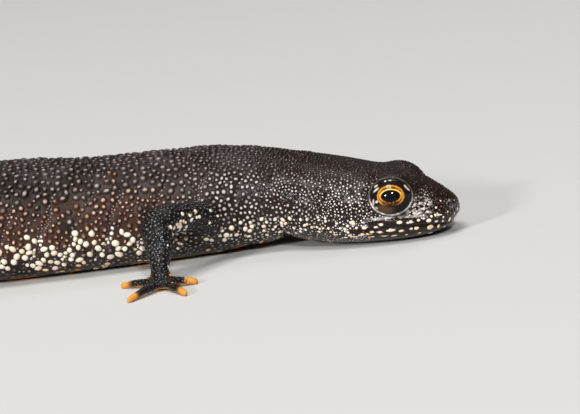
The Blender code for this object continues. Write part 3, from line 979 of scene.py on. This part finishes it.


# the cream streaks along both lips, and in the last row two painted highlights beside each nostril, as
# (behind the snout, height, half length, half width) in mm
lipSpots = (
    (7.13, 1.96, 0.22, 0.11), (6.62, 2.14, 0.2, 0.13), (4.98, 2.15, 0.28, 0.17),
    (4.24, 2, 0.11, 0.11), (3.98, 2.04, 0.18, 0.15), (3.31, 2.07, 0.17, 0.13),
    (2.42, 1.89, 0.25, 0.18), (1.83, 1.66, 0.16, 0.09), (1.3, 1.54, 0.13, 0.09),
    (2.85, 2.15, 0.14, 0.09), (7.56, 1.51, 0.2, 0.13), (6.84, 1.41, 0.2, 0.13),
    (5.84, 1.48, 0.46, 0.17), (4.92, 1.31, 0.27, 0.11), (4.02, 1.37, 0.16, 0.12),
    (3.56, 1.35, 0.23, 0.15), (2.42, 1.2, 0.34, 0.24), (1.73, 1.11, 0.16, 0.18),
    (1.37, 0.81, 0.16, 0.16), (0.79, 1.48, 0.19, 0.22), (0.49, 1.42, 0.13, 0.13),
    (0.16, 2.2, 0.12, 0.18), (0.37, 1.93, 0.07, 0.11), (0.82, 2.3, 0.08, 0.09),
    (1.37, 3.4, 0.1, 0.09), (1.67, 2.41, 0.07, 0.09), (1.37, 2.2, 0.1, 0.07),
    (1.21, 1.91, 0.1, 0.13), (10.1, 1.15, 0.23, 0.09), (9.56, 1.43, 0.13, 0.09),
    (8.55, 1.34, 0.29, 0.18), (9.18, 1.17, 0.27, 0.09), (7.65, 1.01, 0.27, 0.07),
    (6.52, 0.96, 0.27, 0.05), (5.67, 0.87, 0.31, 0.06), (4.56, 0.82, 0.13, 0.05),
    (3.44, 0.78, 0.18, 0.07), (2.62, 0.47, 0.3, 0.06), (8.23, 2.56, 0.18, 0.15),
    (8.19, 2.03, 0.24, 0.18), (9.15, 2.56, 0.2, 0.31), (9.98, 2.07, 0.16, 0.15),
    # painted highlights beside the nostril
    (0.92, 3.04, 0.07, 0.06), (0.36, 3.06, 0.06, 0.07),
)
spotShape = {"shift": (-0.3, 0.3), "stretch": (0.8, 1.2), "height": 0.06 * mm}


def lipWarts():
    tree = BVHTree.FromPolygons(pointsOf(skin.data).tolist(), trianglesOf(skin.data).tolist())
    rows = []
    for side in (-1, 1):
        for back, height, halfLong, halfHigh in lipSpots:
            if side > 0:  # the other side's streaks are its own
                back += rng.uniform(*spotShape["shift"])
                halfLong *= rng.uniform(*spotShape["stretch"])
            start = snoutTip - headFront * back * mm + headLeft * side * 9 * mm
            start[2] = height * mm
            hit, normal, _, _ = tree.ray_cast(Vector(start), Vector(-headLeft * side))
            if hit is not None:
                rows.append((hit[:], normal[:], halfLong * mm, halfHigh * mm))
    place, normal, halfLong, halfHigh = (np.array(column) for column in zip(*rows))
    none = np.zeros(len(rows))
    spots = {
        "place": place, "normal": normal, "radius": np.sqrt(halfLong * halfHigh),
        "height": none + spotShape["height"], "cream": none + 1, "limb": none, "foot": none,
    }
    everyOne = np.arange(len(rows))
    piece = joinWarts("lipSpots", "large", everyOne, spots, np.sqrt(halfLong / halfHigh))
    return piece, spots


lipPiece, lipPlaces = lipWarts()
coat.append(lipPiece)


def markSkin(mesh):
    points, normals = pointsOf(mesh), normalsOf(mesh)
    limb, foot = readAttribute(mesh, "limb"), readAttribute(mesh, "foot")
    for key, values in bodyMarks(points, normals, limb, foot).items():
        floatAttribute(mesh, key, values)
    # the pale pigment spreads a little way round each white wart
    white = warts["cream"] > 0.5
    places, radii = (
        np.concatenate([warts[key][white], lipPlaces[key]]) for key in ("place", "radius")
    )
    tree = KDTree(len(places))
    for k, place in enumerate(places.tolist()):
        tree.insert(place, k)
    tree.balance()
    reach, ease = whiteShape["halo"]
    cream = np.zeros(len(points))
    for k, point in enumerate(points.tolist()):
        _, index, away = tree.find(point)
        cream[k] = (reach - away / radii[index]) / ease
    floatAttribute(mesh, "cream", np.clip(cream, 0, 1))
    floatAttribute(mesh, "tint", np.full(len(points), 0.5))
    floatAttribute(mesh, "tip", np.zeros(len(points)))


markSkin(skin.data)


# materials: short words for the nodes of the tree being worked on
work = {}


def feed(socket, value):
    if isinstance(value, str):
        value = work["colours"][value]
    if hasattr(value, "links"):
        work["tree"].links.new(value, socket)
    else:
        socket.default_value = (*value, 1) if socket.type == "RGBA" else value


def feedAll(node, values):
    for key, value in values.items():
        feed(node.inputs[key], value)


def addNode(kind, values=None, **settings):
    node = work["tree"].nodes.new(kind)
    for key, value in settings.items():
        setattr(node, key, value)
    feedAll(node, values or {})
    return node


def calc(operation, *values, clamp=False):
    given = dict(enumerate(values))
    return addNode("ShaderNodeMath", given, operation=operation, use_clamp=clamp).outputs[0]


def times(first, second, clamp=False):
    return calc("MULTIPLY", first, second, clamp=clamp)


def plus(first, second):
    return calc("ADD", first, second)


def minus(first, second, clamp=False):
    return calc("SUBTRACT", first, second, clamp=clamp)


def weigh(first, firstBy, second, secondBy):
    return plus(times(first, firstBy), times(second, secondBy))


def fade(value, low, high):
    # smoothly from 0 at low to 1 at high
    given = {"Value": value, "From Min": low, "From Max": high}
    return addNode("ShaderNodeMapRange", given, interpolation_type="SMOOTHSTEP").outputs[0]


def spread(value, low, high):
    # 0 to 1 becomes low to high
    return addNode("ShaderNodeMapRange", {"Value": value, "To Min": low, "To Max": high}).outputs[0]


def blend(factor, first, second):
    return addNode("ShaderNodeMix", {0: factor, 6: first, 7: second}, data_type="RGBA").outputs[2]


def cloud(vector, size, detail):
    given = {"Vector": vector, "Scale": 1 / size, "Detail": detail}
    return addNode("ShaderNodeTexNoise", given).outputs["Fac"]


def cells(vector, size):
    given = {"Vector": vector, "Scale": 1 / size}
    return addNode("ShaderNodeTexVoronoi", given, feature="SMOOTH_F1").outputs["Distance"]


def objectPlace():
    return addNode("ShaderNodeTexCoord").outputs["Object"]


def markOf(name):
    return addNode("ShaderNodeAttribute", attribute_name=name).outputs["Fac"]


def newMaterial(name, colours=None):
    material = bpy.data.materials.new(name)
    material.use_nodes = True
    work.update(tree=material.node_tree, colours=colours)
    return material, material.node_tree.nodes["Principled BSDF"]


markings = {
    "dark": (0.018, 0.012, 0.0095),
    "grey": (0.04, 0.032, 0.03),
    "rust": (0.07, 0.031, 0.018),
    "umber": (0.013, 0.0052, 0.0026),
    # pale creases, and painted sheen high on the shoulders
    "pale": (0.06, 0.047, 0.045),
    # painted highlights on the warts' tips
    "tipGlintGrey": (0.44, 0.36, 0.33),
    "tipGlintRust": (0.74, 0.48, 0.36),
    "black": (0.0085, 0.007, 0.0065),
    # painted highlights on the tips of the arm's warts
    "tipGlintArm": (0.3, 0.305, 0.325),
    # pale stipple, partly painted glints
    "dotAndGlint": (0.92, 0.84, 0.8),
    # painted highlights along the lids, the lip fold, the lores and round the nostrils
    "lid": (0.88, 0.8, 0.75),
    "cream": (0.86, 0.78, 0.65),
    "creamWarm": (0.8, 0.64, 0.45),
    "orangeWart": (0.8, 0.44, 0.14),
    "orange": (0.78, 0.27, 0.03),
    "gold": (0.72, 0.36, 0.07),
}
markingSize = {"broad": 3.2 * mm, "fine": 0.35 * mm, "blotch": 2.9 * mm}
markNames = (
    "under", "rusty", "toe", "wet", "warm", "brown", "stipple", "crease", "armAndNostrilShade",
    "cream", "tint", "tip", "lid",
)


def buildMarkings():
    # colour and roughness of the newt's skin from its marks, shared by skin and warts
    tree = bpy.data.node_groups.new("newtMarkings", "ShaderNodeTree")
    work.update(tree=tree, colours=markings)
    for name in markNames:
        tree.interface.new_socket(name=name, in_out="INPUT", socket_type="NodeSocketFloat")
    for name, kind in (("Colour", "NodeSocketColor"), ("Roughness", "NodeSocketFloat")):
        tree.interface.new_socket(name=name, in_out="OUTPUT", socket_type=kind)
    given = addNode("NodeGroupInput").outputs
    under, rusty, toe, wet, warm, brown, stipple, crease, armAndNostrilShade, white, tint, tip, lid = (
        given[name] for name in markNames
    )
    place = objectPlace()
    broad = cloud(place, markingSize["broad"], 3)
    fine = cloud(place, markingSize["fine"], 3)
    # ground: mottled, rusty on the flank, brown on the head, black on arms with painted shade in the
    # nostrils, pale in creases and with painted sheen high on the shoulders
    base = blend(fade(broad, 0.4, 0.62), "dark", "grey")
    base = blend(times(rusty, spread(fine, 0.45, 1.0)), base, "rust")
    base = blend(times(brown, spread(broad, 0.75, 1.05), clamp=True), base, "umber")
    # black arms, and painted shade in the nostrils
    base = blend(times(armAndNostrilShade, 0.85), base, "black")
    # pale in creases, and painted sheen high on the shoulders
    base = blend(times(crease, spread(fine, 0.3, 1.0)), base, "pale")
    # painted highlights: the warts' tips are paler, on the brown head only some of them
    tipGlintColour = blend(rusty, "tipGlintGrey", "tipGlintRust")
    tipGlintColour = blend(armAndNostrilShade, tipGlintColour, "tipGlintArm")
    tipGlintAmount = times(fade(tip, 0.8, 1.03), spread(tint, 0.25, 1.0))
    fewer = minus(brown, fade(tint, 0.68, 0.85), clamp=True)
    base = blend(times(tipGlintAmount, spread(fewer, 1.0, 0.15)), base, tipGlintColour)
    # pale stipple on the granules' tips, partly painted glints
    dots = times(stipple, fade(tint, 0.05, 0.6))
    base = blend(times(dots, fade(tip, 0.6, 0.98)), base, "dotAndGlint")
    # belly: orange with black blotches
    blot = fade(cloud(place, markingSize["blotch"], 2), 0.52, 0.56)
    orange = blend(spread(fine, 0.0, 0.35), "orange", "gold")
    base = blend(under, base, blend(blot, orange, "dark"))
    base = blend(toe, base, blend(fine, "gold", "orange"))
    # white warts, warmer towards the belly
    cream = blend(fade(tint, 0.7, 1.0), "cream", "creamWarm")
    cream = blend(warm, cream, "orangeWart")
    cream = blend(spread(fine, 0.0, 0.2), cream, "creamWarm")
    base = blend(fade(white, 0.2, 0.8), base, cream)
    # painted highlights along the lids, the lip fold, the lores and round the nostrils
    base = blend(times(lid, spread(fine, 0.35, 1.0)), base, "lid")
    rough = plus(spread(wet, 0.31, 0.16), spread(fine, -0.05, 0.06))
    rough = minus(plus(rough, times(white, 0.06)), times(lid, 0.07))
    addNode("NodeGroupOutput", {"Colour": base, "Roughness": rough})
    return tree


def skinMaterial(name, wrinkle, size, strength):
    material, shader = newMaterial(name)
    group = addNode("ShaderNodeGroup", node_tree=markingsGroup)
    for socket in group.inputs:
        feed(socket, markOf(socket.name))
    place = objectPlace()
    relief = plus(times(cells(place, size), wrinkle), times(cloud(place, size * 0.5, 3), 0.5))
    grain = {"Strength": strength, "Distance": 0.05 * mm, "Height": relief}
    normal = addNode("ShaderNodeBump", grain).outputs["Normal"]
    feedAll(shader, {
        "Base Color": group.outputs["Colour"], "Roughness": group.outputs["Roughness"], "IOR": 1.38,
        "Specular IOR Level": 0.2, "Coat Weight": times(markOf("wet"), 0.75), "Coat Roughness": 0.07,
        "Coat IOR": 1.35, "Coat Normal": normal, "Normal": normal,
    })
    return material


markingsGroup = buildMarkings()
skin.data.materials.append(skinMaterial("wetSkin", 1.0, 0.17 * mm, 0.6))
wartSkin = skinMaterial("wartSkin", 0.4, 0.11 * mm, 0.18)
for piece in coat:
    piece.data.materials.append(wartSkin)


# eyeballs: glassy, with the gilt rings and the long pupil
irisShape = {  # measures in mm from the middle
    "ring": (1.26, 1.02),
    "pupil": (0.88, 0.55),
    # the brown patch is a painted reflection
    "brownReflectionAt": (-0.75, -1.25, 0.95, 0.55),  # middle and half sizes of the brown patch
    "bulge": (0.1 * mm, 1.05 * mm),  # how far the clear front stands out, and how wide
    "plane": 5.0,  # mm that the flat map of the eye spans
    # patches: painted reflections at the ball's edge
    "patches": (  # pale streaks at the ball's edge: middle, half length, half width, turn
        (-1.32, 0.66, 0.36, 0.1, 35), (-1.32, 1.02, 0.22, 0.09, 32), (-1.66, -0.5, 0.36, 0.1, 82),
        (-1.32, -0.44, 0.17, 0.12, 20), (1.42, 0.8, 0.24, 0.09, -58), (1.62, 0.56, 0.2, 0.08, -52),
        (-0.42, 1.42, 0.12, 0.07, 10), (0.02, 1.47, 0.16, 0.05, 0), (-1.38, -0.98, 0.16, 0.07, -40),
    ),
}
irisColours = {
    "ball": (0.01, 0.007, 0.006),
    # painted reflection, below and behind the iris
    "brown": (0.085, 0.05, 0.033),
    "iris": (0.022, 0.011, 0.006),
    "gilt": (0.66, 0.27, 0.028),
    "bright": (1.0, 0.6, 0.08),
    "ember": (0.42, 0.13, 0.015),
    "black": (0.0015, 0.0015, 0.0015),
    # painted reflections at the ball's edge
    "paintedReflection": (0.72, 0.62, 0.55),
}


def eyeMaterial():
    material, shader = newMaterial("eyeIris", irisColours)
    uv = addNode("ShaderNodeUVMap", uv_map="irisPlane").outputs[0]
    split = addNode("ShaderNodeSeparateXYZ", {0: uv}).outputs
    x, y = (times(minus(split[k], 0.5), irisShape["plane"]) for k in (0, 1))
    grain = cloud(uv, 0.035, 3)
    threads = cloud(uv, 0.012, 2)

    def oval(wide, high):
        dx, dy = calc("DIVIDE", x, wide), calc("DIVIDE", y, high)
        return calc("SQRT", weigh(dx, dx, dy, dy))

    wave = spread(grain, -0.1, 0.1)
    ring = plus(oval(*irisShape["ring"]), times(wave, 0.6))
    pupil = plus(oval(*irisShape["pupil"]), times(wave, 0.5))
    # ball, with a painted brown reflection below and behind
    middleX, middleY, wide, high = irisShape["brownReflectionAt"]
    dx, dy = calc("DIVIDE", minus(x, middleX), wide), calc("DIVIDE", minus(y, middleY), high)
    colour = blend(fade(weigh(dx, dx, dy, dy), 1.7, 0.0), "ball", "brown")
    # painted reflections: pale streaks at the ball's edge
    for middleX, middleY, long, thin, turn in irisShape["patches"]:
        cosTurn, sinTurn = math.cos(math.radians(turn)), math.sin(math.radians(turn))
        dx, dy = minus(x, middleX), minus(y, middleY)
        alongIt = weigh(dx, cosTurn / long, dy, sinTurn / long)
        acrossIt = weigh(dy, cosTurn / thin, dx, -sinTurn / thin)
        away = plus(weigh(alongIt, alongIt, acrossIt, acrossIt), spread(threads, -1.2, 1.2))
        colour = blend(fade(away, 1.2, 0.5), colour, "paintedReflection")
    # the rings sink into shadow below
    low = fade(y, -0.95, -0.45)
    inRing = fade(ring, 1.02, 0.98)
    colour = blend(inRing, colour, "iris")
    colour = blend(times(times(fade(grain, 0.47, 0.62), inRing), low), colour, "ember")
    gilt = times(low, spread(threads, 0.55, 1.25), clamp=True)
    colour = blend(times(times(fade(ring, 0.84, 0.9), inRing), gilt), colour, "gilt")
    # the thin inner ring glows above and turns to ember below
    inner = blend(fade(y, -0.1, 0.42), "gilt", "bright")
    innerBand = times(fade(pupil, 1.27, 1.17), spread(threads, 0.6, 1.3), clamp=True)
    colour = blend(times(innerBand, fade(y, -0.62, -0.2)), colour, inner)
    colour = blend(fade(pupil, 1.05, 0.99), colour, "black")
    feedAll(shader, {
        "Base Color": colour, "Roughness": 0.5, "Specular IOR Level": 0.05, "Coat Roughness": 0.02,
        "Coat Weight": spread(fade(y, -0.5, 0.25), 0.3, 1.0), "Coat IOR": 1.38,
    })
    return material


def buildEye(side, material):
    bpy.ops.mesh.primitive_uv_sphere_add(segments=72, ring_count=48, radius=eyeShape["radius"])
    ball = bpy.context.object
    mesh = ball.data
    ball.name = mesh.name = "eyeballLeft" if side > 0 else "eyeballRight"
    axes = eyeAxes(side)
    local = pointsOf(mesh)
    rise, width = irisShape["bulge"]
    local[:, 2] += rise * bump(np.hypot(local[:, 0], local[:, 1]), width) * (local[:, 2] > 0)
    placed = sum(np.outer(local[:, k], axis) for k, axis in zip((2, 0, 1), axes))
    setPoints(mesh, placed + ballCentre(side))
    mesh.uv_layers.remove(mesh.uv_layers[0])
    corner = readAll(mesh.loops, "vertex_index", 1, np.int32)[:, 0]
    flat = local[corner, :2] / (irisShape["plane"] * mm)
    flat[local[corner, 2] < 0] = 0.45  # the ball's back has the colour of its edge
    layer = mesh.uv_layers.new(name="irisPlane")
    layer.data.foreach_set("uv", (flat + 0.5).astype(np.float32).ravel())
    if np.linalg.det(np.array(axes)) < 0:
        mesh.flip_normals()
    bpy.ops.object.shade_smooth()
    mesh.materials.clear()
    mesh.materials.append(material)
    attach(ball, "root")
    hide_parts("eye_left" if side > 0 else "eye_right")


irisMaterial = eyeMaterial()
for side in (-1, 1):
    buildEye(side, irisMaterial)
print("eyes set")


# camera, lights and floor
stageLook = {
    "aim": (0.0236, -0.00303, 0.00384),
    "distance": 0.251,
    "elevation": 12.0,
    "roll": 6.9,
    "lens": 166.0,
    "sensor": 36,
    "clip": (0.01, 20),
    "floor": (0.64, 0.63, 0.61),
    "floorSize": 6,
    "ambient": 0.06,
    "lamps": (  # name, turn from the camera, elevation, distance, size, watts
        ("windowLamp", -42, 20, 1.2, 0.15, 7.4),
        ("frontLamp", 9, 34, 1.2, 0.15, 7.0),
        ("skyLamp", -25, 68, 1.36, 0.64, 10.5),
        ("backLamp", 160, 62, 1.36, 0.8, 3.2),
    ),
}


def setUp(name, data, turn, elevation, distance, roll=0.0):
    # an object that looks at the aim from so far round, up and away
    aim, across, lift = Vector(stageLook["aim"]), math.radians(turn), math.radians(elevation)
    out = Vector((math.sin(across) * math.cos(lift), -math.cos(across) * math.cos(lift), math.sin(lift)))
    place = aim + distance * out
    facing = (aim - place).to_track_quat("-Z", "Y").to_matrix().to_4x4()
    obj = newObject(name, data)
    obj.matrix_world = facing @ Matrix.Rotation(math.radians(-roll), 4, "Z")
    obj.location = place
    return obj


def setStage():
    lens = bpy.data.cameras.new("camera")
    lens.lens, lens.sensor_width = stageLook["lens"], stageLook["sensor"]
    lens.clip_start, lens.clip_end = stageLook["clip"]
    bpy.context.scene.camera = setUp(
        "camera", lens, 0, stageLook["elevation"], stageLook["distance"], stageLook["roll"]
    )
    bpy.ops.mesh.primitive_plane_add(size=stageLook["floorSize"])
    floor = bpy.context.object
    floor.name = "floor"
    paper, shader = newMaterial("floorPaper")
    feedAll(shader, {"Base Color": stageLook["floor"], "Roughness": 0.9})
    floor.data.materials.append(paper)
    for name, turn, elevation, distance, size, watts in stageLook["lamps"]:
        lamp = bpy.data.lights.new(name, "AREA")
        lamp.shape, lamp.size, lamp.energy = "DISK", size, watts
        setUp(name, lamp, turn, elevation, distance)
    world = bpy.data.worlds.new("studio")
    world.use_nodes = True
    bpy.context.scene.world = world
    work["tree"] = world.node_tree
    feedAll(world.node_tree.nodes["Background"], {"Color": (1, 1, 1), "Strength": stageLook["ambient"]})


setStage()
bpy.context.scene.view_settings.view_transform = "Standard"
print("stage set")
